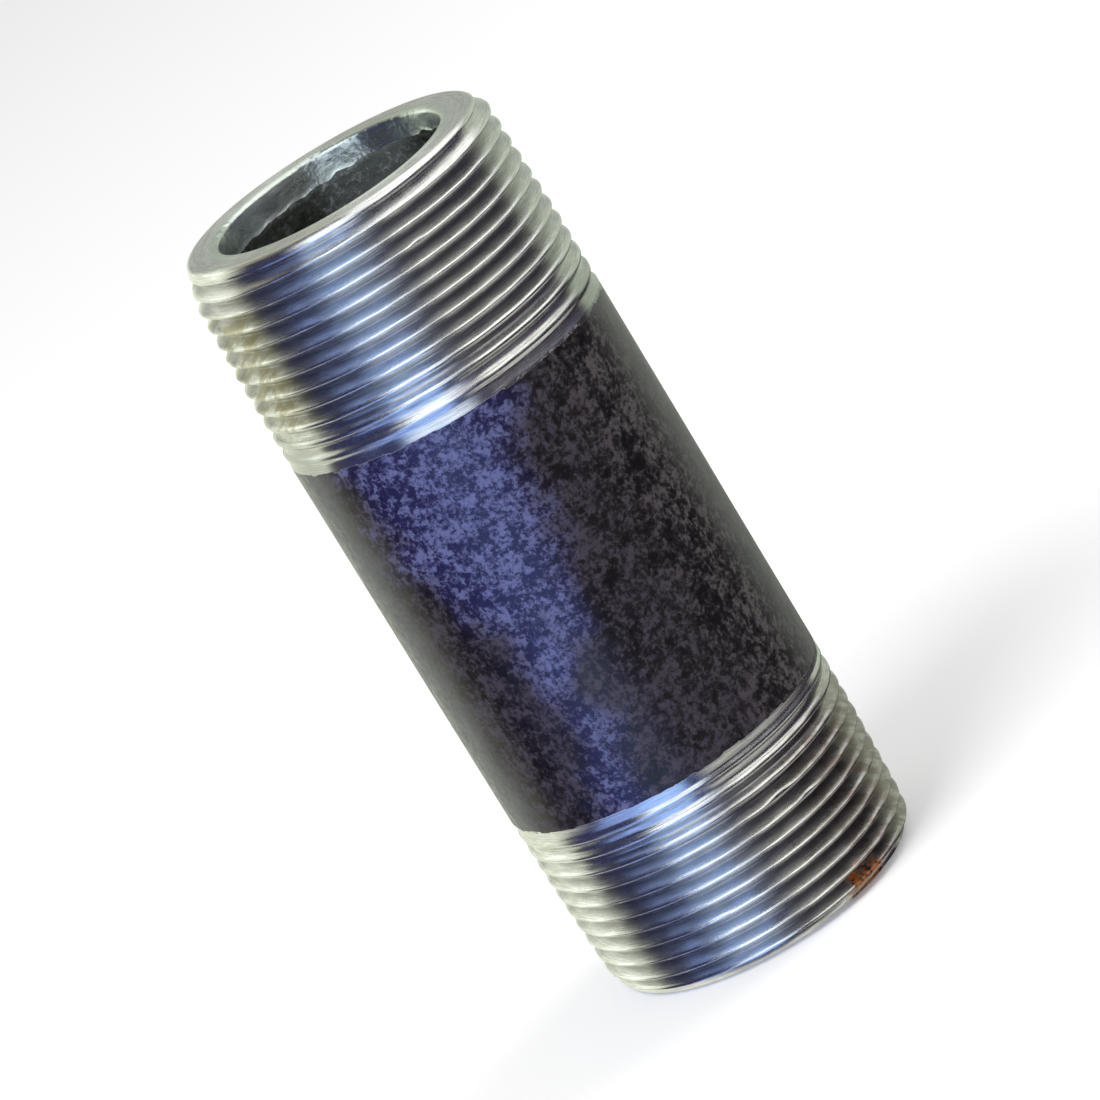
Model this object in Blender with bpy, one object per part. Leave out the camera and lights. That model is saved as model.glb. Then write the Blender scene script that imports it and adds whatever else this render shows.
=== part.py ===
"""A black steel pipe nipple with a taper pipe thread on each end, standing on one cut end.

Metres, +Z up along the bore. The origin is the centre of the lower end, and -Y is the front.
"""

import math

import bmesh
import bpy

# The pipe
LENGTH = 0.1030
PIPE_DIAMETER = 0.04216
WALL = 0.00635

# The thread, right hand at both ends
INCH = 0.0254
THREADS_PER_INCH = 11.5
PITCH = INCH / THREADS_PER_INCH
PITCH_DIAMETER = PIPE_DIAMETER - (0.05 * PIPE_DIAMETER / INCH + 1.1) * PITCH  # at the cut end
TAPER = 1 / 16  # of the diameter along the axis
THREAD_DEPTH = 0.75 * PITCH
FLANK_ANGLE = math.radians(30)  # from a plane across the axis
THROAT_LENGTH = 3.47 * PITCH  # the shallowing turns left by the die's bevelled mouth
TOP_THREAD_LENGTH = 0.0270
BOTTOM_THREAD_LENGTH = 0.0255
TOP_CREST_DEPTH = 0.0114  # of one crest at the front, below the upper end
BOTTOM_CREST_HEIGHT = 0.0146  # the same, above the lower end

# The cut ends
CHAMFER_WIDTH = 0.00198  # across the radius
CHAMFER_ANGLE = math.radians(45)
RIM_WIDENING = 0.00114  # how far outside the bore's wall the flat face starts to round off
MOUTH_WIDENING = 0.0002  # the same for the top of the reamed cone, where the rounding ends
ROUNDING_DEPTH = 0.0005
REAMED_DEPTH = 0.0029

# Facets
SEGMENTS = 36
ROUNDING_STEPS = 4
THREAD_TURN = 0.5  # of a facet, so that no section of a thread lies along an edge of the blank
SKIN = 0.02 * PITCH  # the least that a thread form's ridges stand over its floor, off the pipe
TURNS_BELOW = 3  # that a thread form winds on below its thread, to clear the pipe
TURNS_ABOVE = 2  # the same above its thread
NEAR_APEX = 4 * PITCH  # beyond the cut end, where a thread form's outer end closes
FAR_APEX = 10 * LENGTH  # beyond the pipe's other end, where its inner end closes
SHARP_ANGLE = math.radians(28)
FRONT = -math.pi / 2


def clear_scene():
    for obj in list(bpy.data.objects):
        bpy.data.objects.remove(obj, do_unlink=True)


def steel():
    material = bpy.data.materials.new("steel")
    material.use_nodes = True
    surface = material.node_tree.nodes["Principled BSDF"]
    surface.inputs["Base Color"].default_value = (0.16, 0.16, 0.18, 1)
    surface.inputs["Metallic"].default_value = 0.8
    surface.inputs["Roughness"].default_value = 0.42
    return material


def on_circle(column, radius, height):
    """The point at this radius and height, a number of facets round from the front."""
    angle = FRONT + 2 * math.pi * column / SEGMENTS
    return (radius * math.cos(angle), radius * math.sin(angle), height)


def finished_mesh(name, form):
    """The bmesh as an object of its own, smooth but for its real edges."""
    bmesh.ops.recalc_face_normals(form, faces=form.faces)
    mesh = bpy.data.meshes.new(name)
    form.to_mesh(mesh)
    form.free()
    mesh.shade_smooth()
    mesh.set_sharp_from_angle(angle=SHARP_ANGLE)
    obj = bpy.data.objects.new(name, mesh)
    bpy.context.scene.collection.objects.link(obj)
    return obj


def mouth_outline():
    """(radius, depth) from the end face into the bore: the rounded rim, then the reamed cone."""
    bore = PIPE_DIAMETER / 2 - WALL
    outline = []
    for step in range(ROUNDING_STEPS + 1):
        turn = math.pi / 2 * step / ROUNDING_STEPS
        inset = (RIM_WIDENING - MOUTH_WIDENING) * math.sin(turn)
        outline.append((bore + RIM_WIDENING - inset, ROUNDING_DEPTH * (1 - math.cos(turn))))
    return outline + [(bore, REAMED_DEPTH)]


def end_outline():
    """(radius, depth) over one end, from the pipe's outside across the cut face into the bore."""
    outside = PIPE_DIAMETER / 2
    chamfer = (outside, CHAMFER_WIDTH / math.tan(CHAMFER_ANGLE))
    return [chamfer, (outside - CHAMFER_WIDTH, 0.0)] + mouth_outline()


def turned_blank(name):
    """The cut and chamfered pipe before threading: a closed outline turned about the axis."""
    top = [(radius, LENGTH - depth) for radius, depth in end_outline()]
    bottom = list(reversed(end_outline()))
    outline = top + bottom
    form = bmesh.new()
    columns = [
        [form.verts.new(on_circle(column, *point)) for point in outline]
        for column in range(SEGMENTS)
    ]
    for column, this in enumerate(columns):
        following = columns[(column + 1) % SEGMENTS]
        for point in range(len(outline)):
            after = (point + 1) % len(outline)
            form.faces.new((this[point], this[after], following[after], following[point]))
    return finished_mesh(name, form)


def crest_radius(depth):
    """The taper cone over the thread's crests, at this depth from the cut end."""
    return (PITCH_DIAMETER + THREAD_DEPTH + TAPER * depth) / 2


def floor_radius(depth, thread_length):
    """The groove's floor: the taper cone, then the throat's steeper cone, which leaves the metal at
    the end of the thread. A pitch past it the form flares, to clear the rest of the pipe."""
    cone = (PITCH_DIAMETER - THREAD_DEPTH + TAPER * depth) / 2
    full = thread_length - THROAT_LENGTH
    at_full = (PITCH_DIAMETER - THREAD_DEPTH + TAPER * full) / 2
    slope = (PIPE_DIAMETER / 2 - at_full) / THROAT_LENGTH
    throat = at_full + slope * (depth - full)
    flare = max(0.0, depth - thread_length - PITCH) / PITCH * PIPE_DIAMETER / 4
    return max(cone, throat) + flare


def ridge_radius(depth, thread_length):
    """The ridge's top: the crests' cone, or a skin over the floor where that has risen past it."""
    return max(crest_radius(depth), floor_radius(depth, thread_length) + SKIN)


def thread_section(depth_at, thread_length, crest_height):
    """(radius, height) of one pitch, upwards: both edges of the crest, then both of the floor."""
    half_crest = (PITCH / 2 - THREAD_DEPTH * math.tan(FLANK_ANGLE)) / 2
    groove_height = crest_height + PITCH / 2
    groove = depth_at(groove_height)
    rise = ridge_radius(groove, thread_length) - floor_radius(groove, thread_length)
    half_floor = PITCH / 2 - half_crest - rise * math.tan(FLANK_ANGLE)
    crest_edges = (crest_height - half_crest, crest_height + half_crest)
    floor_edges = (groove_height - half_floor, groove_height + half_floor)
    section = [(ridge_radius(depth_at(height), thread_length), height) for height in crest_edges]
    section += [(floor_radius(depth_at(height), thread_length), height) for height in floor_edges]
    return section


def thread_form(name, depth_at, thread_length, front_crest, first_turn, last_turn, apexes):
    """A solid whose side is the helical thread, one section a facet, wound from one turn to another
    about the crest that stands at front_crest. Each open turn at its ends fans to an apex on the
    axis. What the pipe and the form share is the threaded pipe."""
    form = bmesh.new()
    columns = {}
    for column in range(round(first_turn * SEGMENTS), round(last_turn * SEGMENTS) + 1):
        turned = column + THREAD_TURN
        crest_height = front_crest + PITCH * turned / SEGMENTS
        section = thread_section(depth_at, thread_length, crest_height)
        columns[column] = [form.verts.new(on_circle(turned, *point)) for point in section]
    first, last = min(columns), max(columns)
    for column in range(first, last):
        this, following = columns[column], columns[column + 1]
        for point in range(3):
            form.faces.new((this[point], following[point], following[point + 1], this[point + 1]))
        if column + 1 + SEGMENTS <= last:
            above, after = columns[column + SEGMENTS][0], columns[column + SEGMENTS + 1][0]
            form.faces.new((this[3], following[3], after, above))
    lower_loop = [columns[first + turn][0] for turn in range(SEGMENTS + 1)]
    lower_loop += columns[first][:0:-1]
    upper_loop = [columns[last - turn][3] for turn in range(SEGMENTS + 1)]
    upper_loop += columns[last][0:3]
    for loop, height in zip((lower_loop, upper_loop), apexes):
        apex = form.verts.new((0, 0, height))
        for here, there in zip(loop, loop[1:] + loop[:1]):
            form.faces.new((there, here, apex))
    return finished_mesh(name, form)


def top_thread_form():
    first_turn = (TOP_CREST_DEPTH - TOP_THREAD_LENGTH) / PITCH - TURNS_BELOW
    last_turn = TOP_CREST_DEPTH / PITCH + TURNS_ABOVE
    return thread_form(
        "top_thread_form",
        lambda height: LENGTH - height,
        TOP_THREAD_LENGTH,
        LENGTH - TOP_CREST_DEPTH,
        first_turn,
        last_turn,
        (-FAR_APEX, LENGTH + NEAR_APEX),
    )


def bottom_thread_form():
    first_turn = -BOTTOM_CREST_HEIGHT / PITCH - TURNS_BELOW
    last_turn = (BOTTOM_THREAD_LENGTH - BOTTOM_CREST_HEIGHT) / PITCH + TURNS_ABOVE
    return thread_form(
        "bottom_thread_form",
        lambda height: height,
        BOTTOM_THREAD_LENGTH,
        BOTTOM_CREST_HEIGHT,
        first_turn,
        last_turn,
        (-NEAR_APEX, LENGTH + FAR_APEX),
    )


def keep_inside(obj, form):
    """Cuts the object down to what lies inside the form, which stays as a wire helper."""
    cut = obj.modifiers.new(form.name, "BOOLEAN")
    cut.operation = "INTERSECT"
    cut.solver = "EXACT"
    cut.object = form
    form.hide_render = True
    form.display_type = "WIRE"


def main():
    clear_scene()
    nipple = turned_blank("pipe_nipple")
    nipple.data.materials.append(steel())
    keep_inside(nipple, top_thread_form())
    keep_inside(nipple, bottom_thread_form())


main()
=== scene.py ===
# %% [markdown]
# # A black steel pipe nipple
#
# A nipple is a short length of pipe with a thread on each end, for joining two fittings. This one is
# 1 1/4 inch pipe, about four inches long: black as it left the rolling mill along the middle, and
# bright where a die, a chamfering tool and a reamer have cut it.
#
# The whole thing is one solid, so it is made here as one closed surface. It is computed as a function of
# two parameters, how far round and how far along, which is the natural way to write a thread down.
#
# The packed part is loaded first, and its box is printed.

# %% Load the frame
import math

import bpy
import numpy as np
from mathutils import Matrix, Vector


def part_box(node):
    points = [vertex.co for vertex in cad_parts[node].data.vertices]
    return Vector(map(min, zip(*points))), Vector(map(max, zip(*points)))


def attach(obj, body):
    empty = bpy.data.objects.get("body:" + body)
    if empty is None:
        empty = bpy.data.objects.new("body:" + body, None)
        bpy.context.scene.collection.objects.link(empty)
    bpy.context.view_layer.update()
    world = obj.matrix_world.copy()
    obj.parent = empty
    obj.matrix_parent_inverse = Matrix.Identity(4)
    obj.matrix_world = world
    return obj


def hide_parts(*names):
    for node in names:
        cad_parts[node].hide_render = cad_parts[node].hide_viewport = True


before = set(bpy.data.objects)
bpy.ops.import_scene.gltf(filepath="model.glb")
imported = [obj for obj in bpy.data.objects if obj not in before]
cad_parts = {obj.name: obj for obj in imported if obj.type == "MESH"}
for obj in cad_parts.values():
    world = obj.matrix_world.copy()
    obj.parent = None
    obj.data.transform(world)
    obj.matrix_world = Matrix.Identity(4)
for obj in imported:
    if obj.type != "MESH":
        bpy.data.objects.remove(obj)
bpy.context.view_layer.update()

scene = bpy.context.scene
MM = 0.001
lowest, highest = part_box("pipe_nipple")
print("node at rest, mm:", [round(float(v) / MM, 2) for v in (*lowest, *highest)])

# %% [markdown]
# ## The camera
#
# The photograph looks slightly down on the pipe with a long lens, and the camera is rolled, so that an
# upright pipe lies across the picture from upper left to lower right. An orbit is the plainest way to
# write this: a point to look at, a distance, an elevation and a roll. The camera's three axes follow
# from those, and they are the columns of its rotation matrix.

# %% Camera
AIM = np.array([-0.25, 0.0, 51.25]) * MM
DISTANCE = 746.3 * MM
ELEVATION = math.radians(16.08)
ROLL = math.radians(-31.37)
SENSOR_WIDTH = 36.0  # mm
FOCAL_LENGTH = 206.9  # mm

back = np.array([0, -math.cos(ELEVATION), math.sin(ELEVATION)])
level = np.cross([0, 0, 1], back)
level /= np.linalg.norm(level)
upright = np.cross(back, level)

pose = np.eye(4)
pose[:3, 0] = math.cos(ROLL) * level + math.sin(ROLL) * upright
pose[:3, 1] = -math.sin(ROLL) * level + math.cos(ROLL) * upright
pose[:3, 2] = back
pose[:3, 3] = AIM + DISTANCE * back

camera = bpy.data.objects.new("camera", bpy.data.cameras.new("camera"))
scene.collection.objects.link(camera)
camera.matrix_world = Matrix(pose.tolist())
camera.data.sensor_width = SENSOR_WIDTH
camera.data.lens = FOCAL_LENGTH
camera.data.clip_start = 10 * MM
scene.camera = camera
print("camera at, mm:", np.round(pose[:3, 3] / MM, 1))

# %% [markdown]
# ## The thread's numbers
#
# A taper pipe thread is fully described by a few numbers: the pipe's diameter, the threads per inch, a
# 60 degree V, a cone that opens by 1 in 16 away from the end, and a throat, the last turns that the die's
# bevelled mouth leaves shallower and shallower. All of it below is in millimetres, which suits the size.

# %% Sizes of the pipe and its threads
INCH = 25.4
LENGTH = 103.0
PIPE_RADIUS = 42.16 / 2
WALL = 6.35
BORE_RADIUS = PIPE_RADIUS - WALL
PITCH = INCH / 11.5
PITCH_RADIUS = PIPE_RADIUS - (0.05 * 2 * PIPE_RADIUS / INCH + 1.1) * PITCH / 2  # at the cut end
THREAD_DEPTH = 0.75 * PITCH
FLANK_SLOPE = math.tan(math.radians(30))  # distance along the axis over the fall of a flank
OPENING = 1 / 32  # of the radius along the axis, which is 1 in 16 of the diameter
THROAT = 3.47 * PITCH
TOP_THREAD = 27.0
BOTTOM_THREAD = 25.5
TOP_CREST = 11.4  # depth of a crest at the front, from the upper end
BOTTOM_CREST = 14.6  # height of a crest at the front, from the lower end
FACE_RADIUS = PIPE_RADIUS - 1.98  # where the chamfer would meet the flat face
print("pitch %.4f, pitch radius %.3f, bore radius %.2f" % (PITCH, PITCH_RADIUS, BORE_RADIUS))

# %% [markdown]
# ## Soft edges
#
# At each point of the pipe's outside the surface is the lowest of several simple shapes: the pipe as
# rolled, the cone over the crests, the chamfer, and the flanks of the groove, and where the flanks would
# meet below the groove's floor, the floor's cone. Taking a minimum or a maximum gives knife edges. A
# worn thread has none, so the soft versions below round each edge over a chosen width.

# %% Soft minimum and maximum
def soft_min(a, b, width):
    """The lower of a and b, rounded where they come closer than width: half their sum, less half of
    the root of their difference squared plus width squared, which never rises above either."""
    return (a + b - np.sqrt((a - b) ** 2 + width ** 2)) / 2


def soft_max(a, b, width):
    """The same with the root added, which never falls below either."""
    return -soft_min(-a, -b, width)


print("soft minimum of 1 and 1 over a width of 0.1:", soft_min(1.0, 1.0, 0.1))

# %% [markdown]
# ## One threaded end
#
# Unrolled, a thread is the same notch again and again along the axis, and each step round the pipe only
# slides it along. So the radius depends on one number, the distance along the axis to the nearest
# crest, and on the depth from the cut end, which opens the cones.

# %% The thread as a radius
FLOOR_SOFTNESS = 0.15  # of the bend where the throat starts
CREST_SOFTNESS = 0.10
ROOT_SOFTNESS = 0.16
CREST_FLAT = (PITCH / 2 - THREAD_DEPTH * FLANK_SLOPE) / 2  # half of its width


def threaded_radius(turn, height, depth, crest_height, thread_length, crest_loss):
    """The radius at each point of one threaded end. turn is how far round, in whole turns from the front,
    and depth is the distance from the cut end.

    phase is the distance along the axis from the nearest crest, at most half a pitch. The crest's cone is
    the pitch radius plus half the thread's depth, and opens by depth / 32. The flanks fall away from it by
    phase / tan 30. The floor is the same cone less the whole depth, or the throat's steeper cone, which
    reaches the pipe's surface at the end of the thread."""
    raw = (height - crest_height) / PITCH - turn
    phase = np.abs(raw - np.round(raw)) * PITCH
    cone = PITCH_RADIUS + depth * OPENING
    crest = cone + THREAD_DEPTH / 2 - crest_loss
    flank = cone + THREAD_DEPTH / 2 - (phase - CREST_FLAT) / FLANK_SLOPE
    full = thread_length - THROAT
    root_at_full = PITCH_RADIUS + full * OPENING - THREAD_DEPTH / 2
    throat = root_at_full + (PIPE_RADIUS - root_at_full) / THROAT * (depth - full)
    floor = soft_max(cone - THREAD_DEPTH / 2, throat, FLOOR_SOFTNESS)
    return soft_max(soft_min(flank, crest, CREST_SOFTNESS), floor, ROOT_SOFTNESS)


print("half of a crest's flat: %.3f mm" % CREST_FLAT)

# %% [markdown]
# ## Unevenness
#
# Nothing on the real pipe is quite even: the rolled skin, the crests that the die tore a little and the
# scale in the bore all wander. One smooth random field serves for all of them. It has to meet itself
# after a whole turn, so it is a sum of waves with a whole number round the pipe.

# %% A field that closes on itself
MOST_WAVES_ROUND = 30


def ripple(turn, height, waves, seed, long=6.0):
    """A smooth random field from -1 to 1 that closes on itself round the pipe: the mean of cosines, each
    with a whole number of waves round and its own wavelength along, scaled up to fill the range."""
    draw = np.random.default_rng(seed)
    total = np.zeros(np.broadcast(turn, height).shape)
    for _ in range(waves):
        around = draw.integers(1, MOST_WAVES_ROUND)
        along = draw.normal(0, 1 / long)
        total = total + np.cos(2 * math.pi * (around * turn + along * height + draw.random()))
    return np.clip(total / math.sqrt(waves), -1, 1)


sample = ripple(np.linspace(0, 1, 200), 0.0, 14, 5)
print("a sample ripple runs from %.2f to %.2f" % (sample.min(), sample.max()))

# %% [markdown]
# ## The whole outside
#
# Both ends are cut the same way, so one function gives the outside of the whole pipe. Damage is worked
# in here too, because it is part of the shape: knocks from a warehouse bin have flattened the crests in
# places, and each is a shallow bowl that the surface may not rise above.
#
# The upper end's chamfer is uneven. The pipe sat askew in the machine, so that on one side the chamfer is
# 45 degrees steep and on the other only about 20.

# %% Knocks and chamfers
KNOCKS = [  # degrees right of the front, height, size and depth
    (14.0, 96.0, 1.0, 0.22),
    (-33.0, 92.8, 1.2, 0.30),
    (-58.0, 86.0, 1.6, 0.25),
    (-71.0, 81.5, 1.4, 0.22),
    (22.0, 17.2, 2.2, 0.40),
    (31.0, 14.2, 1.5, 0.30),
    (-15.0, 8.0, 1.2, 0.20),
    (-60.0, 20.5, 1.6, 0.25),
    (64.0, 9.5, 1.8, 0.25),
    (140.0, 11.0, 2.4, 0.35),
    (-150.0, 93.0, 2.0, 0.30),
    (118.0, 84.0, 1.6, 0.25),
]
KNOCK_SOFTNESS = 0.04
KNOCK_REACH = 0.5  # how far over the surface a bowl still counts
ASKEW_SIDE = -98.0  # degrees right of the front, where the upper chamfer is gentlest
ASKEW_LOSS = 0.64  # of its slope there
LOWER_SLOPE = 0.78  # of the lower chamfer, radius over height
CHAMFER_SOFTNESS = 0.25
CREST_WEAR = 0.035
SKIN_WAVE = 0.02
SKIN_SOFTNESS = 0.03


def chamfer_radius(turn, height):
    """The cone of the chamfer: the face's radius plus slope x distance from the end. At the upper end the
    slope is 1, less ASKEW_LOSS x the cosine of the angle from the askew side, to the power 1.5."""
    leaning = np.clip(np.cos(2 * math.pi * (turn - ASKEW_SIDE / 360)), 0, 1) ** 1.5
    slope = np.where(height > LENGTH / 2, 1 - ASKEW_LOSS * leaning, LOWER_SLOPE)
    return FACE_RADIUS + slope * np.minimum(LENGTH - height, height)


def knocked(radius, turn, height):
    """The radius, capped by a bowl at each knock: the crest's cone less the knock's depth, rising by that
    depth x (distance / size) squared."""
    for angle, at, size, depth in KNOCKS:
        away = (turn - angle / 360 + 0.5) % 1 - 0.5
        arc = away * 2 * math.pi * PIPE_RADIUS
        crest = PITCH_RADIUS + THREAD_DEPTH / 2 + np.minimum(LENGTH - at, at) * OPENING
        bowl = crest - depth + depth * ((arc / size) ** 2 + ((height - at) / size) ** 2)
        radius = np.where(bowl < radius + KNOCK_REACH, soft_min(radius, bowl, KNOCK_SOFTNESS), radius)
    return radius


print("%d knocks, the deepest %.2f mm" % (len(KNOCKS), max(knock[3] for knock in KNOCKS)))

# %% [markdown]
# With those in hand the outside is short to write: take the thread of the nearer end, and let the
# rolled pipe, the chamfer and the knocks cap it.

# %% The outside as one radius
def outside_radius(turn, height):
    """The pipe's outer radius at each point: its nearer end's thread, capped by the rolled pipe, by the
    chamfer and by the knocks."""
    wear = CREST_WEAR + CREST_WEAR * ripple(turn, height, 14, 5, long=3.0)
    top = threaded_radius(turn, height, LENGTH - height, LENGTH - TOP_CREST, TOP_THREAD, wear)
    bottom = threaded_radius(turn, height, height, BOTTOM_CREST, BOTTOM_THREAD, wear)
    radius = np.where(height > LENGTH / 2, top, bottom)
    rolled = PIPE_RADIUS - SKIN_WAVE - SKIN_WAVE * ripple(turn, height, 10, 8, long=40.0)
    radius = soft_min(radius, rolled, SKIN_SOFTNESS)
    radius = soft_min(radius, chamfer_radius(turn, height), CHAMFER_SOFTNESS)
    return knocked(radius, turn, height)


print("radius half way up the front: %.3f mm" % outside_radius(np.zeros(1), np.full(1, LENGTH / 2))[0])

# %% [markdown]
# ## Points and faces
#
# The surface is gathered in patches. Each patch adds its points and gets their numbers back as a grid, and
# faces are made between neighbours in a grid. Two patches that use the same numbers along an edge are
# joined there already.

# %% Gather points and faces
SEGMENTS = 192
turns = np.arange(SEGMENTS) / SEGMENTS - 0.5
points, faces = [], []
count = 0


def add_points(radius, turn, height):
    """Puts points on the piece, from radius, turns round from the front, and height; returns numbers."""
    global count
    radius, turn, height = np.broadcast_arrays(radius, turn, height)
    angle = 2 * math.pi * turn
    place = np.stack([radius * np.sin(angle), -radius * np.cos(angle), height], -1)
    points.append(place.reshape(-1, 3))
    numbers = np.arange(count, count + radius.size).reshape(radius.shape)
    count += radius.size
    return numbers


def add_quads(grid):
    """Faces between neighbours of a grid of point numbers, rows along and columns round."""
    quads = np.stack([grid[:-1, :-1], grid[:-1, 1:], grid[1:, 1:], grid[1:, :-1]], -1)
    faces.append(quads.reshape(-1, 4))


def closed(ring):
    """The ring with its first point again at its end."""
    return np.append(ring, ring[..., :1], axis=-1)


print("%d points round, one every %.2f mm" % (SEGMENTS, 2 * math.pi * PIPE_RADIUS / SEGMENTS))

# %% [markdown]
# ## Rows that follow the helix
#
# A level grid would cut every crest at a slant and make it a staircase. The rows of the threaded ends
# climb one pitch a turn instead, so a crest is always one row of points, and each row meets, after one
# turn, the row a pitch above it. Where such rows run into a level edge they are held there: all the points
# beyond it become the one point on the edge, and quads that lose a side that way become triangles.

# %% A patch of thread
ROWS_PER_PITCH = 14
EDGE_GAP = 0.04  # the least distance of a row from a level edge


def helical_patch(low, high, crest_height, low_ring, high_ring):
    """The threaded surface between two level rings. Row k stands at crest_height + pitch x (place of k +
    turns round). Half a pitch holds its rows at places that crowd at the crest and the floor: a
    quarter of (1 - the cosine of an angle that grows evenly to half a turn)."""
    half = ROWS_PER_PITCH // 2
    place = 0.25 * (1 - np.cos(math.pi * np.arange(half) / half))
    unit = np.concatenate([place, 0.5 + place])
    first = math.floor((low - crest_height) / PITCH) - 1
    last = math.ceil((high - crest_height) / PITCH) + 2
    rows = (np.arange(first, last)[:, None] + unit).ravel()
    height = crest_height + PITCH * (rows[:, None] + turns)
    inside = (height > low + EDGE_GAP) & (height < high - EDGE_GAP)
    numbers = np.where(height <= low + EDGE_GAP, low_ring, high_ring)
    turn = np.broadcast_to(turns, height.shape)[inside]
    numbers[inside] = add_points(outside_radius(turn, height[inside]), turn, height[inside])
    seam = np.append(numbers[ROWS_PER_PITCH:, 0], np.full(ROWS_PER_PITCH, high_ring[0]))
    add_quads(np.column_stack([numbers, seam]))


print("%d rows to a pitch" % ROWS_PER_PITCH)

# %% [markdown]
# The plain middle needs only a level grid. Its first and last rings, and one ring at each end where the
# chamfer stops, are the level edges that the two patches of thread run between.

# %% The outside
PLAIN_GAP = 1.0  # between the end of a thread and the level grid
PLAIN_RINGS = 21
EDGE_ROUND = 0.36  # of the edge between chamfer and cut face

body_heights = np.linspace(BOTTOM_THREAD + PLAIN_GAP, LENGTH - TOP_THREAD - PLAIN_GAP, PLAIN_RINGS)
body = add_points(outside_radius(turns, body_heights[:, None]), turns, body_heights[:, None])
add_quads(closed(body))
foot_edge = outside_radius(turns, EDGE_ROUND)
head_edge = outside_radius(turns, LENGTH - EDGE_ROUND)
foot = add_points(foot_edge, turns, EDGE_ROUND)
head = add_points(head_edge, turns, LENGTH - EDGE_ROUND)
helical_patch(EDGE_ROUND, body_heights[0], BOTTOM_CREST, foot, body[0])
helical_patch(body_heights[-1], LENGTH - EDGE_ROUND, LENGTH - TOP_CREST, body[-1], head)
print("outside: %d points" % count)

# %% [markdown]
# ## The mouth and the bore
#
# The reamer takes off the burr that cutting leaves at the mouth. It only reaches the high places of the
# rolled bore, so the lower edge of the band that it cuts is ragged, and a little deeper on one side.
# Below it is raw bore with scale on it. Both are functions of how far round, as before.

# %% Sizes of the mouth
RIM_RADIUS = BORE_RADIUS + 1.14
MOUTH_RADIUS = BORE_RADIUS + 0.20
RIM_DEPTH = 0.5
RIM_LUMPS = 0.09  # how unevenly the rim was rounded
REAMED_DEPTH = 2.9
REAMER_TILT = 0.55  # how much deeper than the mean the band reaches on its deep side
DEEP_SIDE = -100.0  # degrees right of the front
RAGGED_COARSE = 0.15  # how far the band's lower edge wanders
RAGGED_FINE = 0.05
SCALE_THICKNESS = 0.12
SCALE_COARSE = 0.06  # the lumps of the scale
SCALE_FINE = 0.04


def ragged_depth(turn):
    """How deep the reamed band reaches: a mean, a cosine for the tilt, and two ripples."""
    tilt = REAMER_TILT * np.cos(2 * math.pi * (turn - DEEP_SIDE / 360))
    coarse = RAGGED_COARSE * ripple(turn, 0.0, 9, 21)
    fine = RAGGED_FINE * ripple(turn * 3, 0.0, 7, 22)
    return REAMED_DEPTH + tilt + coarse + fine


def raw_bore_radius(turn, depth):
    """The bore as rolled: tighter than the band by the scale, with lumps about a millimetre across."""
    coarse = SCALE_COARSE * ripple(turn, depth, 24, 31, long=2.0)
    fine = SCALE_FINE * ripple(2 * turn, depth, 24, 32, long=1.2)
    return BORE_RADIUS - SCALE_THICKNESS + coarse + fine


band_depth = ragged_depth(turns)
print("the reamed band reaches %.2f to %.2f mm deep" % (band_depth.min(), band_depth.max()))

# %% [markdown]
# ## The cut ends
#
# Each end was turned in a machine, so it is drawn as the machine would cut it: an outline of radius and
# depth, carried round the axis. From the outside inwards it has a rounded edge, the flat face, the
# rounded rim of the mouth, the reamed band and the first of the raw bore.

# %% The outline of an end
EDGE_RINGS = 5
FACE_PLACES = (0.33, 0.66)
RIM_RINGS = 7
BAND_PLACES = (0.25, 0.5, 0.75, 0.97)
CUT_RINGS = EDGE_RINGS + len(FACE_PLACES) + RIM_RINGS + len(BAND_PLACES)
SCALE_RINGS = 16
RAW_DEPTH = 11.0  # how deep the end's own rings reach
SCALE_STEP = 0.08  # down from the band's ragged edge to the scale
FACE_INSET = 2.4  # edge rounds in from the edge, where the face is flat
BAND_WAVE = 0.012  # of the reamed band's radius


def end_rings(edge_radius):
    """Radii and depths, a row a ring, from the outer edge of a cut end down to its raw bore. The edge is
    a quadratic curve from (edge_radius, EDGE_ROUND) towards a corner at (edge_radius - EDGE_ROUND, 0) and
    on to the face, the rim is a quarter ellipse with lumps, and the band is a cone."""
    rows = []
    flat = edge_radius - FACE_INSET * EDGE_ROUND
    for t in np.linspace(0, 1, EDGE_RINGS + 1)[1:]:
        curve = (1 - t) ** 2 * edge_radius + 2 * t * (1 - t) * (edge_radius - EDGE_ROUND) + t * t * flat
        rows.append((curve, (1 - t) ** 2 * EDGE_ROUND))
    for t in FACE_PLACES:
        rows.append((flat + t * (RIM_RADIUS - flat), 0.0))
    lumps = RIM_LUMPS * ripple(turns, 0.0, 16, 51)
    for bend in np.linspace(0, math.pi / 2, RIM_RINGS):
        rim = RIM_RADIUS - (RIM_RADIUS - MOUTH_RADIUS) * math.sin(bend)
        drop = RIM_DEPTH * (1 - math.cos(bend))
        rows.append((rim - lumps * math.sin(2 * bend), drop + lumps * math.sin(bend) ** 2))
    for t in BAND_PLACES:
        cone = MOUTH_RADIUS + t * (BORE_RADIUS - MOUTH_RADIUS)
        wave = BAND_WAVE * ripple(turns, t * 3, 9, 41)
        rows.append((cone + wave, RIM_DEPTH + t * (band_depth - RIM_DEPTH)))
    for t in np.linspace(0, 1, SCALE_RINGS):
        depth = band_depth + SCALE_STEP + t * (RAW_DEPTH - band_depth)
        rows.append((raw_bore_radius(turns, depth), depth))
    radii = np.stack([np.broadcast_to(radius, SEGMENTS) for radius, depth in rows])
    depths = np.stack([np.broadcast_to(depth, SEGMENTS) for radius, depth in rows])
    return radii, depths


print("%d rings to an end, %d of them cut" % (CUT_RINGS + SCALE_RINGS, CUT_RINGS))

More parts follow.
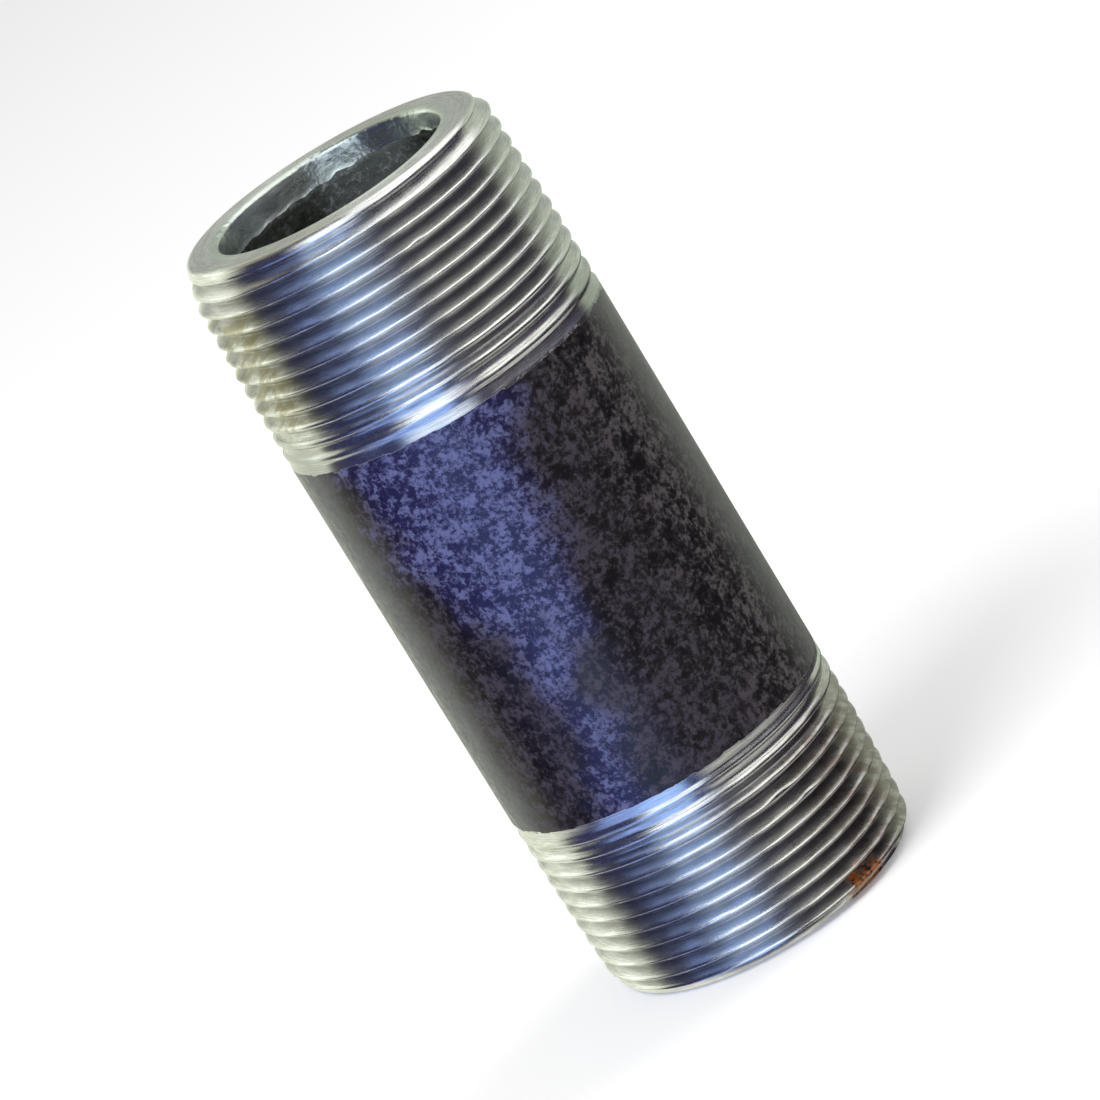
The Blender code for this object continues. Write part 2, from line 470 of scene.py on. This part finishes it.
# %% [markdown]
# Now one grid can run from the upper outer edge over the face, down the whole bore and out again to
# the lower outer edge. Its first and last rows are the rings that the outside ends on, so the surface
# is closed.

# %% The inside
BORE_RINGS = 14
BORE_GAP = 12.0  # from an end to the first ring of the plain bore

top_radii, top_depths = end_rings(head_edge)
top_end = add_points(top_radii, turns, LENGTH - top_depths)
bottom_radii, bottom_depths = end_rings(foot_edge)
bottom_end = add_points(bottom_radii, turns, bottom_depths)
bore_heights = np.linspace(BORE_GAP, LENGTH - BORE_GAP, BORE_RINGS)[::-1, None]
plain_bore = add_points(raw_bore_radius(turns, bore_heights), turns, bore_heights)
inner = np.concatenate([head[None], top_end, plain_bore, bottom_end[::-1], foot[None]])
add_quads(closed(inner))
print("whole surface: %d points" % count)

# %% [markdown]
# ## A cut that isn't square
#
# The upper cut isn't quite square: its face stands nearly half a millimetre higher on the far side than
# on the near one. That could be a rotation of the whole end, but then the threads would lean too. So a
# small rise is laid over the finished points, and fades out down the first turns of the thread.

# %% Lean the upper face
OUT_OF_SQUARE = 0.45  # mm, between the low and the high side
HIGH_SIDE = 165.0  # degrees right of the front
LEANING_DEPTH = 4.0  # how far down the lean fades out


def leaned(place):
    """The points with a rise added, of half of OUT_OF_SQUARE x (1 + distance towards the high side / pipe
    radius) x share, where share falls smoothly from 1 at the end to 0 at LEANING_DEPTH."""
    side = math.radians(HIGH_SIDE)
    towards = (place[:, 0] * math.sin(side) - place[:, 1] * math.cos(side)) / PIPE_RADIUS
    share = np.clip((place[:, 2] - (LENGTH - LEANING_DEPTH)) / LEANING_DEPTH, 0, 1)
    share = share * share * (3 - 2 * share)
    return place + np.outer(OUT_OF_SQUARE / 2 * (1 + towards) * share, [0, 0, 1])


plain_places = np.concatenate(points)
lean = leaned(plain_places)[:, 2] - plain_places[:, 2]
print("the lean raises points by up to %.2f mm" % lean.max())

# %% [markdown]
# ## One closed mesh
#
# The patches share their edge rings already, so nothing is left to weld. Quads that were held at an
# edge repeat a number: those with three different corners are kept as triangles and the rest go.

# %% Build the mesh
def put_together(name):
    """The points and faces as a mesh object at the origin, in metres."""
    quads = np.concatenate(faces)
    same = quads == np.roll(quads, -1, axis=1)
    whole = quads[~same.any(1)]
    held = quads[same.sum(1) == 1]
    spare = same[same.sum(1) == 1].argmax(1)
    keep = (spare[:, None] + np.array([1, 2, 3])) % 4
    triangles = np.take_along_axis(held, keep, 1)
    corners = np.concatenate([whole.ravel(), triangles.ravel()])
    sizes = np.concatenate([np.full(len(whole), 4), np.full(len(triangles), 3)])
    mesh = bpy.data.meshes.new(name)
    mesh.vertices.add(count)
    mesh.vertices.foreach_set("co", (leaned(plain_places) * MM).ravel())
    mesh.loops.add(len(corners))
    mesh.loops.foreach_set("vertex_index", corners)
    mesh.polygons.add(len(sizes))
    mesh.polygons.foreach_set("loop_start", np.cumsum(sizes) - sizes)
    mesh.update(calc_edges=True)
    mesh.validate()
    mesh.shade_smooth()
    piece = bpy.data.objects.new(name, mesh)
    scene.collection.objects.link(piece)
    print("%s: %d triangles" % (name, 2 * len(whole) + len(triangles)))
    return piece


nipple = put_together("threaded_pipe")
mesh = nipple.data

# %% [markdown]
# ## Where it was cut and where it wasn't
#
# The finish depends on the tool that touched each place, and a shader can't know that by itself. The
# shape does: a point that lies below the rolled pipe's skin was cut. So each point gets two numbers
# here, kept as attributes of the mesh. One is groove, from 0 on a crest to 1 on a groove's floor. The
# other is cut, which is 1 on cut steel and 0 on rolled, with values between where the die only skimmed
# the skin near the end of a thread. The black starts along a slightly wavy line there.

# %% Two attributes
FACE_MARGIN = 0.3  # outside the rim, where the outside begins
GROOVE_START = 0.8  # from a cut end, part of the way up the chamfer
GROOVE_FADE = 1.2  # and over this much more, to the chamfer's end
CUT_MARGIN = 0.045  # a point further than this below the pipe's radius counts as cut
CUT_MARGIN_WAVE = 0.02
BORDER_INSET = 0.25  # of the black, into the end of a thread
BORDER_WAVE = 0.10
SKIM_START = 0.4  # from the end of a thread
SKIM_FADE = 2.4
SKIMMED = 0.58  # the value of cut where the die barely touched
SKIM_GAIN = 0.3  # how much surer it gets away from the thread's end

radius = np.hypot(plain_places[:, 0], plain_places[:, 1])
height = plain_places[:, 2]
turn = np.arctan2(plain_places[:, 0], -plain_places[:, 1]) / (2 * math.pi)
outer = radius > RIM_RADIUS + FACE_MARGIN

end_distance = np.minimum(height, LENGTH - height)
crest_cone = np.minimum(PITCH_RADIUS + THREAD_DEPTH / 2 + end_distance * OPENING, PIPE_RADIUS)
groove = np.where(outer, np.clip((crest_cone - radius) / THREAD_DEPTH, 0, 1), 0)
groove *= np.clip((end_distance - GROOVE_START) / GROOVE_FADE, 0, 1)

skin = PIPE_RADIUS - CUT_MARGIN - CUT_MARGIN_WAVE * ripple(turn, height, 20, 61, long=2.0)
into_thread = np.maximum(height - (LENGTH - TOP_THREAD), BOTTOM_THREAD - height)
threads = into_thread > BORDER_INSET + BORDER_WAVE * ripple(turn, 0.0, 8, 62)
skimmed = SKIMMED + SKIM_GAIN * np.clip((into_thread - SKIM_START) / SKIM_FADE, 0, 1)
cut = np.where((radius < skin) & threads, 1.0, threads * skimmed)
cut = np.where(outer, cut, 1.0)

for name, values in (("groove", groove), ("cut", cut)):
    layer = mesh.attributes.new(name, "FLOAT", "POINT")
    layer.data.foreach_set("value", values.astype(np.float32))
print("mean of cut: %.2f, mean of groove: %.2f" % (cut.mean(), groove.mean()))

# %% [markdown]
# The raw bore is another material altogether, so its faces are given a slot of their own: slot 1 for
# faces that lie at the bore's radius and don't belong to the rings that were cut.

# %% Two material slots
loop_start = np.zeros(len(mesh.polygons), int)
loop_total = np.zeros(len(mesh.polygons), int)
corner = np.zeros(len(mesh.loops), int)
mesh.polygons.foreach_get("loop_start", loop_start)
mesh.polygons.foreach_get("loop_total", loop_total)
mesh.loops.foreach_get("vertex_index", corner)
mean_radius = np.add.reduceat(radius[corner], loop_start) / loop_total
cut_points = np.zeros(count, bool)
cut_points[top_end[:CUT_RINGS].ravel()] = True
cut_points[bottom_end[:CUT_RINGS].ravel()] = True
all_cut = np.add.reduceat(cut_points[corner].astype(int), loop_start) == loop_total
raw = (mean_radius < BORE_RADIUS + 0.05) & ~all_cut
mesh.polygons.foreach_set("material_index", raw.astype(np.int32))
print("faces in the raw bore: %d of %d" % (raw.sum(), len(raw)))

# %% [markdown]
# ## A short way to write shaders
#
# A node tree reads better as formulas. Each helper below adds one node and hands back its output, so
# that a finish can be written a line at a time. The most used ones are between, which is 0 on one side of
# a range and 1 on the other, and window, which is 1 in the middle of a range and fades out at both ends.

# %% Shader helpers
class Finish:
    """A material with one Principled shader, and short calls that add nodes to its tree."""

    def __init__(self, name):
        self.material = bpy.data.materials.new(name)
        self.material.use_nodes = True
        self.tree = self.material.node_tree
        self.surface = self.tree.nodes["Principled BSDF"].inputs
        self.place = self.add("ShaderNodeTexCoord").outputs["Object"]

    def add(self, kind, **settings):
        """A new node, with its settings."""
        node = self.tree.nodes.new(kind)
        for key, value in settings.items():
            setattr(node, key, value)
        return node

    def feed(self, socket, value):
        """Links the value to the socket, or sets it there if it is a plain number or colour."""
        if isinstance(value, bpy.types.NodeSocket):
            self.tree.links.new(value, socket)
        else:
            socket.default_value = value

    def calc(self, operation, *values):
        """One Math node."""
        node = self.add("ShaderNodeMath", operation=operation)
        for socket, value in zip(node.inputs, values):
            self.feed(socket, value)
        return node.outputs[0]

    def times(self, first, *others):
        """All the values multiplied."""
        for other in others:
            first = self.calc("MULTIPLY", first, other)
        return first

    def centred(self, value, spread):
        """(value - 0.5) x spread, which makes a noise swing about 0."""
        return self.times(self.calc("SUBTRACT", value, 0.5), spread)

    def attribute(self, name):
        """A number kept on the mesh."""
        return self.add("ShaderNodeAttribute", attribute_name=name).outputs["Fac"]

    def split(self, vector):
        """The three parts of a vector."""
        node = self.add("ShaderNodeSeparateXYZ")
        self.feed(node.inputs[0], vector)
        return node.outputs

    def noise(self, vector, scale, detail, roughness):
        """A noise of so many waves a metre, about 0.5."""
        node = self.add("ShaderNodeTexNoise")
        entries = (("Vector", vector), ("Scale", scale), ("Detail", detail), ("Roughness", roughness))
        for socket, entry in entries:
            self.feed(node.inputs[socket], entry)
        return node.outputs["Fac"]

    def between(self, value, low, high, to_low=0.0, to_high=1.0):
        """to_low below low, to_high above high, and a smooth step from one to the other."""
        node = self.add("ShaderNodeMapRange", interpolation_type="SMOOTHSTEP")
        for socket, entry in zip(node.inputs, (value, low, high, to_low, to_high)):
            self.feed(socket, entry)
        return node.outputs[0]

    def window(self, value, start, full, fading, end):
        """0 up to start, 1 from full to fading, and 0 again from end."""
        return self.times(self.between(value, start, full), self.between(value, end, fading))

    def blend(self, share, a, b):
        """The colour a with a share of b."""
        node = self.add("ShaderNodeMix", data_type="RGBA")
        for socket, entry in ((node.inputs[0], share), (node.inputs[6], a), (node.inputs[7], b)):
            self.feed(socket, entry)
        return node.outputs[2]

    def mix(self, share, a, b):
        """The number a with a share of b."""
        node = self.add("ShaderNodeMix", data_type="FLOAT")
        for socket, entry in ((node.inputs[0], share), (node.inputs[2], a), (node.inputs[3], b)):
            self.feed(socket, entry)
        return node.outputs[0]

    def bump(self, height, strength, distance, normal=None):
        """A normal bent by the slope of height, on top of another one."""
        node = self.add("ShaderNodeBump")
        self.feed(node.inputs["Height"], height)
        node.inputs["Strength"].default_value = strength
        node.inputs["Distance"].default_value = distance
        if normal:
            self.feed(node.inputs["Normal"], normal)
        return node.outputs["Normal"]


def colour(red, green, blue):
    """A linear colour with full alpha."""
    return (red, green, blue, 1.0)


print("helpers:", ", ".join(name for name in vars(Finish) if not name.startswith("_")))

# %% [markdown]
# ## Steel: places and noises
#
# Both finishes of the outside share one material, because they meet along a ragged line. Its patterns are
# made from a few noises of different grain, and from where a point lies: its height, its distance from
# the axis and its angle round from the front. The tool marks are a noise squeezed so that it runs round
# the pipe. It is sheared with the radius, or it would show no marks on the flat faces.

# %% Places and noises
MARKS_SQUEEZE = 0.04
MARKS_SHEAR = 0.8

steel = Finish("cut and rolled steel")
cut_share = steel.attribute("cut")
deep = steel.attribute("groove")
x, y, z = steel.split(steel.place)
out_radius = steel.calc("SQRT", steel.calc("ADD", steel.times(x, x), steel.times(y, y)))
angle = steel.calc("ARCTAN2", x, steel.times(y, -1.0))  # radians right of the front
either_side = steel.calc("ABSOLUTE", angle)

marks_place = steel.add("ShaderNodeCombineXYZ")
squeezed = (steel.times(x, MARKS_SQUEEZE), steel.times(y, MARKS_SQUEEZE))
sheared = steel.calc("SUBTRACT", z, steel.times(out_radius, MARKS_SHEAR))
for socket, entry in zip(marks_place.inputs, (*squeezed, sheared)):
    steel.feed(socket, entry)
marks = steel.noise(marks_place.outputs[0], 9000, 3.0, 0.6)
smudge = steel.noise(steel.place, 90, 3.0, 0.6)
cloud = steel.noise(steel.place, 260, 4.0, 0.6)
blotch = steel.noise(steel.place, 420, 3.0, 0.6)
speck = steel.noise(steel.place, 1500, 3.0, 0.65)
print("nodes so far:", len(steel.tree.nodes))

# %% [markdown]
# ## Steel: the cut finish
#
# Cut steel is bright and a little warm or cool from place to place. Tool marks vary it finely, fingers
# leave dull smudges, and the grooves are darker and plum towards their floors, in cloudy patches.

# %% Bright steel and darker grooves
bright = steel.blend(steel.between(marks, 0.35, 0.7), colour(0.60, 0.61, 0.60), colour(0.88, 0.89, 0.87))
smudged = steel.between(smudge, 0.50, 0.75, 0.0, 0.4)
bright = steel.blend(smudged, bright, colour(0.50, 0.47, 0.46))
# The grooves turn darker towards their floors, in cloudy patches.
groove_colour = steel.blend(steel.between(cloud, 0.4, 0.6), colour(0.15, 0.11, 0.15), colour(0.26, 0.24, 0.22))
groove_darkening = steel.times(steel.between(deep, 0.3, 1.0, 0.0, 0.45), steel.between(cloud, 0.3, 0.6, 0.5, 1.0))
bright = steel.blend(groove_darkening, bright, groove_colour)
print("nodes so far:", len(steel.tree.nodes))

# %% [markdown]
# Three stains belong to this one nipple. Old oil has turned tan on the left of the upper thread, the
# right of the lower thread is brownish, and the last turns of the upper thread are dull at the sides.
# Inside the mouth the reamed steel is a little green. Each stain on a thread is a window in angle times
# one in height, and a noise breaks up the first two. The windows close before the back of the pipe, where
# the angle jumps from half a turn right to half a turn left. Angles are in radians, heights in metres.

# %% Stains on the cut steel
OIL_TAN = colour(0.40, 0.37, 0.26)
BROWN = colour(0.25, 0.21, 0.19)
DULL_GREY = colour(0.36, 0.38, 0.36)
MOUTH_GREEN = colour(0.60, 0.68, 0.63)

tan_turns = steel.window(z, 0.078, 0.084, 0.096, 0.099)
tan_broken = steel.between(blotch, 0.42, 0.58, 0.15, 0.9)
tan_share = steel.times(steel.window(angle, -2.4, -1.8, -1.05, -0.75), tan_turns, tan_broken)
bright = steel.blend(tan_share, bright, OIL_TAN)
brown_turns = steel.between(z, 0.026, 0.018)
brown_broken = steel.between(blotch, 0.36, 0.60, 0.50, 0.92)
brown_share = steel.times(steel.window(angle, 0.05, 0.8, 1.7, 2.4), brown_turns, brown_broken)
bright = steel.blend(brown_share, bright, BROWN)
dull_turns = steel.window(z, 0.068, 0.074, 0.078, 0.083)
dull_share = steel.times(steel.window(either_side, 0.75, 1.15, 1.7, 2.2), dull_turns, 0.75)
bright = steel.blend(dull_share, bright, DULL_GREY)
in_mouth = steel.between(out_radius, 0.0168, 0.0158)
bright = steel.blend(steel.times(in_mouth, 0.7), bright, MOUTH_GREEN)
print("nodes so far:", len(steel.tree.nodes))

# %% [markdown]
# ## Steel: the rolled finish
#
# The rolled steel is covered in mill scale under a thin black lacquer, nearly black with a plum cast, and
# speckled where scale has flaked. Two noises of different grain, with a coarse one to thin them out in
# places, give the flakes their ragged outlines. Towards both sides the black is painted paler, a painted
# reflection of the sheen along the pipe's edges.

# %% Black, flakes and painted sheen
flakes = steel.noise(steel.place, 900, 5.0, 0.72)
fine_flakes = steel.noise(steel.place, 2100, 4.0, 0.7)
both_flakes = steel.calc("ADD", steel.times(flakes, 0.6), steel.times(fine_flakes, 0.4))
both_flakes = steel.calc("ADD", both_flakes, steel.centred(cloud, 0.25))
flake_share = steel.between(both_flakes, 0.455, 0.59)

black = steel.blend(
    steel.between(cloud, 0.35, 0.65), colour(0.004, 0.002, 0.004), colour(0.013, 0.009, 0.013))
right_side = steel.window(angle, 0.3, 1.0, 1.5, 2.4)
flaked = steel.blend(right_side, colour(0.047, 0.038, 0.057), colour(0.092, 0.082, 0.080))
speckled = steel.blend(flake_share, black, flaked)
# Painted reflection: both sides of the black are painted paler, for the sheen along the pipe's edges.
right_painted_sheen = steel.times(steel.window(angle, 0.80, 1.25, 1.5, 2.1), 0.6)
speckled = steel.blend(right_painted_sheen, speckled, colour(0.085, 0.088, 0.085))
left_painted_sheen = steel.times(steel.window(angle, -2.1, -1.5, -1.25, -0.95), 0.5)
speckled = steel.blend(left_painted_sheen, speckled, colour(0.060, 0.075, 0.085))
print("nodes so far:", len(steel.tree.nodes))

# %% [markdown]
# Down the front runs a painted reflection of the bluish window: dark blue with lavender flakes, wide at
# the top and narrow at the bottom. It is a band about one angle whose width depends on the height, with a
# wandering edge.

# %% The painted reflection
PAINTED_REFLECTION_ANGLE = 0.36  # radians left of the front
PAINTED_REFLECTION_FADE = 0.16

# Painted reflection of the bluish window, laid into the black's colour.
reflection_width = steel.between(z, 0.040, 0.066, 0.13, 0.46)
reflection_side = steel.calc("ABSOLUTE", steel.calc("ADD", angle, PAINTED_REFLECTION_ANGLE))
reflection_edge = steel.calc("ADD", steel.calc("SUBTRACT", reflection_width, reflection_side), steel.centred(smudge, 0.9))
painted_reflection = steel.between(reflection_edge, -PAINTED_REFLECTION_FADE, PAINTED_REFLECTION_FADE)
reflected_blue = steel.blend(flake_share, colour(0.010, 0.008, 0.055), colour(0.108, 0.122, 0.290))
rolled = steel.blend(painted_reflection, speckled, reflected_blue)
print("nodes so far:", len(steel.tree.nodes))

# %% [markdown]
# ## Steel: both finishes together, and rust
#
# The attribute says where the steel was cut, and a fine noise makes the border ragged. A patch of
# rust on the lower edge, right of the front, lies over both. It is a ball about one point, with its
# surface pushed in and out by a noise.

# %% Colour and metal
RUST_PLACE = (0.0118, -0.0161, 0.0002)
RUST_RADIUS = 0.0038
RUST_FULL = 0.0028  # the radius inside which it covers everything
RUST_RAGGED = 0.006  # how far the noise pushes its edge

border = steel.between(steel.calc("ADD", cut_share, steel.centred(speck, 0.9)), 0.40, 0.60)
finish = steel.blend(border, rolled, bright)
rust_distance = steel.add("ShaderNodeVectorMath", operation="DISTANCE")
steel.feed(rust_distance.inputs[0], steel.place)
rust_distance.inputs[1].default_value = RUST_PLACE
rust_ragged = steel.calc("ADD", rust_distance.outputs["Value"], steel.centred(blotch, RUST_RAGGED))
rust_share = steel.between(rust_ragged, RUST_RADIUS, RUST_FULL)
rust = steel.blend(steel.between(speck, 0.38, 0.54), colour(0.010, 0.007, 0.005), colour(0.32, 0.10, 0.020))
steel.feed(steel.surface["Base Color"], steel.blend(rust_share, finish, rust))
clean = steel.calc("SUBTRACT", 1.0, rust_share)
steel.feed(steel.surface["Metallic"], steel.times(border, 0.98, clean))
print("nodes so far:", len(steel.tree.nodes))

# %% [markdown]
# ## Steel: gloss and tool marks
#
# Tool marks that run round the pipe spread a reflection along it and keep it narrow round it, which is
# why a threaded end shows hard upright bands. Real scratches that fine would need a huge mesh, so this is
# an anisotropic gloss, whose tangent runs round the axis and is then turned by a quarter. The grooves are
# rougher than the crests, and a coarse bump in the mouth stands for what the reamer left.

# %% Roughness and relief
rough_turned = steel.calc(
    "ADD", steel.between(cloud, 0.3, 0.7, 0.20, 0.29), steel.between(deep, 0.2, 1.0, 0.0, 0.10))
rough_cut = steel.calc("ADD", rough_turned, steel.times(in_mouth, 0.06))
rough_rolled = steel.between(flakes, 0.35, 0.65, 0.30, 0.50)
steel.feed(steel.surface["Roughness"], steel.mix(border, rough_rolled, rough_cut))
steel.surface["Anisotropic"].default_value = 0.8
steel.surface["Anisotropic Rotation"].default_value = 0.25
about_axis = steel.add("ShaderNodeTangent", direction_type="RADIAL", axis="Z")
steel.feed(steel.surface["Tangent"], about_axis.outputs[0])

uncut = steel.calc("SUBTRACT", 1.0, border)
tooled = steel.bump(steel.times(marks, border), 0.25, 0.00004)
pitted = steel.bump(steel.times(flakes, uncut), 0.35, 0.00012, tooled)
chattered = steel.bump(steel.times(blotch, in_mouth), 0.35, 0.0006, pitted)
steel.feed(steel.surface["Normal"], chattered)
mesh.materials.append(steel.material)
print("steel: %d nodes" % len(steel.tree.nodes))

# %% [markdown]
# ## Scale in the bore
#
# The raw bore is covered in rough dark scale, olive-black with greyer crumbs, and is hardly glossy. A
# strip down its right side is painted paler, with more crumbs: painted light where light reaches the far
# wall.

# %% Scale
scale = Finish("bore scale")
crumbs = scale.noise(scale.place, 900, 5.0, 0.75)
patches = scale.noise(scale.place, 200, 3.0, 0.6)
dark_scale = scale.blend(
    scale.between(patches, 0.4, 0.6), colour(0.012, 0.014, 0.009), colour(0.038, 0.043, 0.036))
# Painted light: this strip of the bore is painted paler and given more crumbs.
painted_lit_strip = scale.window(scale.split(scale.place)[0], -0.004, 0.001, 0.008, 0.013)
dark_scale = scale.blend(painted_lit_strip, dark_scale, colour(0.105, 0.120, 0.118))
crumb_most = scale.calc("ADD", 0.25, scale.times(painted_lit_strip, 0.6))
crumb_share = scale.times(scale.between(crumbs, 0.50, 0.66), crumb_most)
scale.feed(scale.surface["Base Color"], scale.blend(crumb_share, dark_scale, colour(0.30, 0.34, 0.33)))
scale.feed(scale.surface["Roughness"], scale.between(crumbs, 0.4, 0.7, 0.65, 0.35))
scale.surface["Metallic"].default_value = 0.3
scale.feed(scale.surface["Normal"], scale.bump(crumbs, 0.8, 0.0004))
mesh.materials.append(scale.material)
print("scale: %d nodes" % len(scale.tree.nodes))

# %% [markdown]
# ## Floor
#
# The pipe stands on a plain white floor. The floor glows very faintly for the camera alone, which lifts it
# to white, and keeps the pipe's soft shadow. Glossy rays pass through it and see the room below it.

# %% Floor
FLOOR_REACH = 4.0  # m, from the middle to each side
FLOOR_LIFT = 0.14  # strength of the glow

floor_mesh = bpy.data.meshes.new("floor")
corners = [(a * FLOOR_REACH, b * FLOOR_REACH, 0) for a, b in ((-1, -1), (1, -1), (1, 1), (-1, 1))]
floor_mesh.from_pydata(corners, [], [(0, 1, 2, 3)])
floor = bpy.data.objects.new("floor", floor_mesh)
scene.collection.objects.link(floor)
floor_finish = Finish("white floor")
floor_finish.surface["Base Color"].default_value = colour(0.86, 0.86, 0.86)
floor_finish.surface["Roughness"].default_value = 1.0
floor_finish.surface["Specular IOR Level"].default_value = 0.0
floor_finish.surface["Emission Color"].default_value = colour(1, 1, 1)
to_camera = floor_finish.add("ShaderNodeLightPath").outputs["Is Camera Ray"]
floor_finish.feed(floor_finish.surface["Emission Strength"], floor_finish.times(to_camera, FLOOR_LIFT))
floor_mesh.materials.append(floor_finish.material)
floor.visible_glossy = False
print("floor: %.0f m square" % (2 * FLOOR_REACH))

# %% [markdown]
# ## The studio
#
# What a bright metal shows is mostly its surroundings, so the surroundings are built as a studio would
# be: a tall bluish window at the front left in a dark curtain, pale walls behind on both sides, light
# boxes overhead and a pale floor. All of it is paint on the world, so no panel stands in the way. A
# panel is a window in the direction's angle round from the front times one in its angle up.

# %% How to hang a panel
class Room(Finish):
    """The same helpers on the world's tree. place is the direction that a ray looks in."""

    def __init__(self, world):
        self.tree = world.node_tree
        self.place = self.add("ShaderNodeTexCoord").outputs["Generated"]


SOFTER_UP = 1.5  # how much wider a panel's upper and lower edges fade than its sides

scene.world = bpy.data.worlds.new("studio")
scene.world.use_nodes = True
studio = Room(scene.world)
look_x, look_y, look_z = studio.split(studio.place)
side = studio.calc("DEGREES", studio.calc("ARCTAN2", look_x, studio.times(look_y, -1.0)))
rise = studio.calc("DEGREES", studio.calc("ARCSINE", look_z))


def panel(behind, paint, left, right, low, high, soft):
    """paint laid over what is behind it, from left to right in degrees round from the front and from low
    to high in degrees up, with edges that fade over soft degrees."""
    across = studio.window(side, left - soft, left + soft, right - soft, right + soft)
    soft = soft * SOFTER_UP
    upwards = studio.window(rise, low - soft, low + soft, high - soft, high + soft)
    return studio.blend(studio.times(across, upwards), behind, colour(*paint))


print("studio: %d nodes before the panels" % len(studio.tree.nodes))

# %% [markdown]
# Each row below hangs one panel over those before it. An angle past 180 degrees just means that the
# panel goes on to the seam at the back.

# %% Panels
PANELS = [  # what it is, its colour, left, right, low, high and softness
    ("pale floor", (0.85, 0.85, 0.80), -300, 300, -66, -38, 4),
    ("left wall", (0.98, 1.02, 0.84), -300, -108, -40, 40, 5),
    ("top of the left wall", (0.45, 0.44, 0.34), -300, -125, 40, 60, 5),
    ("dim flat on the right", (0.10, 0.09, 0.14), 8, 116, 2, 22, 4),
    ("right wall", (0.60, 0.66, 0.54), 116, 300, -16, 32, 4),
    ("dark blue curtain", (0.020, 0.024, 0.10), -100, 10, -100, 58, 6),
    ("foot of the window's left", (0.32, 0.46, 0.98), -78, -42, -100, -16, 2),
    ("shade at the window's right", (0.22, 0.26, 0.50), -12, 5, -15, 60, 4),
    ("lower window", (0.44, 0.70, 1.36), -46, -7, -100, 6, 5),
    ("upper window", (1.25, 1.36, 1.50), -42, 5, 6, 60, 5),
    ("grey wall behind, left half", (0.42, 0.44, 0.40), -300, -158, 4, 28, 4),
    ("grey wall behind, right half", (0.42, 0.44, 0.40), 158, 300, 4, 28, 4),
    ("small light on the left wall", (1.60, 1.64, 1.48), -146, -122, 17, 36, 4),
    ("long light box on the right", (1.55, 1.55, 1.48), 22, 300, 33, 66, 4),
    ("ceiling", (1.40, 1.42, 1.45), -72, 240, 64, 120, 5),
    ("left skylight", (2.50, 2.65, 2.90), -80, -14, 60, 80, 4),
    ("right skylight", (1.90, 1.90, 1.80), 30, 112, 52, 75, 4),
]

seen = colour(0.020, 0.013, 0.022)
for what, paint, *edges in PANELS:
    seen = panel(seen, paint, *edges)
    print("hung:", what)
print("studio: %d panels, %d nodes" % (len(PANELS), len(studio.tree.nodes)))

# %% [markdown]
# Only glossy rays see that room. The camera sees plain white, and everything else is lit by an even grey
# sky, whose level leaves room for the light that the two lamps below add to it.

# %% Who sees what
SKY_LEVEL = 0.55

ray = studio.add("ShaderNodeLightPath").outputs
lit = studio.blend(ray["Is Glossy Ray"], colour(SKY_LEVEL, SKY_LEVEL, SKY_LEVEL), seen)
shown = studio.blend(ray["Is Camera Ray"], lit, colour(1, 1, 1))
studio.feed(studio.tree.nodes["Background"].inputs["Color"], shown)
print("sky level: %.2f" % SKY_LEVEL)

# %% [markdown]
# Two soft square lamps, one at the upper left and a weaker one behind on the right, give the dull parts
# some form and the floor its shadow. They are kept out of reflections, where they would show as squares.

# %% Soft lamps
LAMP_AIM = np.array([0, 0, 0.05])
LAMP_SIZE = 0.6  # m


def soft_lamp(name, place, power):
    """A square lamp at that place in metres, turned to the middle of the pipe. Its own z axis points away
    from the pipe, its x axis is level, and its y axis is square to both."""
    lamp = bpy.data.objects.new(name, bpy.data.lights.new(name, "AREA"))
    lamp.data.size = LAMP_SIZE
    lamp.data.energy = power
    scene.collection.objects.link(lamp)
    away = np.array(place) - LAMP_AIM
    away /= np.linalg.norm(away)
    aside = np.cross([0, 0, 1], away)
    aside /= np.linalg.norm(aside)
    stance = np.eye(4)
    stance[:3, 0] = aside
    stance[:3, 1] = np.cross(away, aside)
    stance[:3, 2] = away
    stance[:3, 3] = place
    lamp.matrix_world = Matrix(stance.tolist())
    lamp.visible_glossy = False
    print("%s: %.1f W" % (name, power))


soft_lamp("upper left lamp", (-0.5, -0.5, 0.9), 8.0)
soft_lamp("upper right lamp", (0.7, 0.3, 0.8), 4.0)
scene.view_settings.view_transform = "Standard"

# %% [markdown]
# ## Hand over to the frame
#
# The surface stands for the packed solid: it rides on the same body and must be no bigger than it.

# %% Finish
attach(nipple, "root")
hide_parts("pipe_nipple")
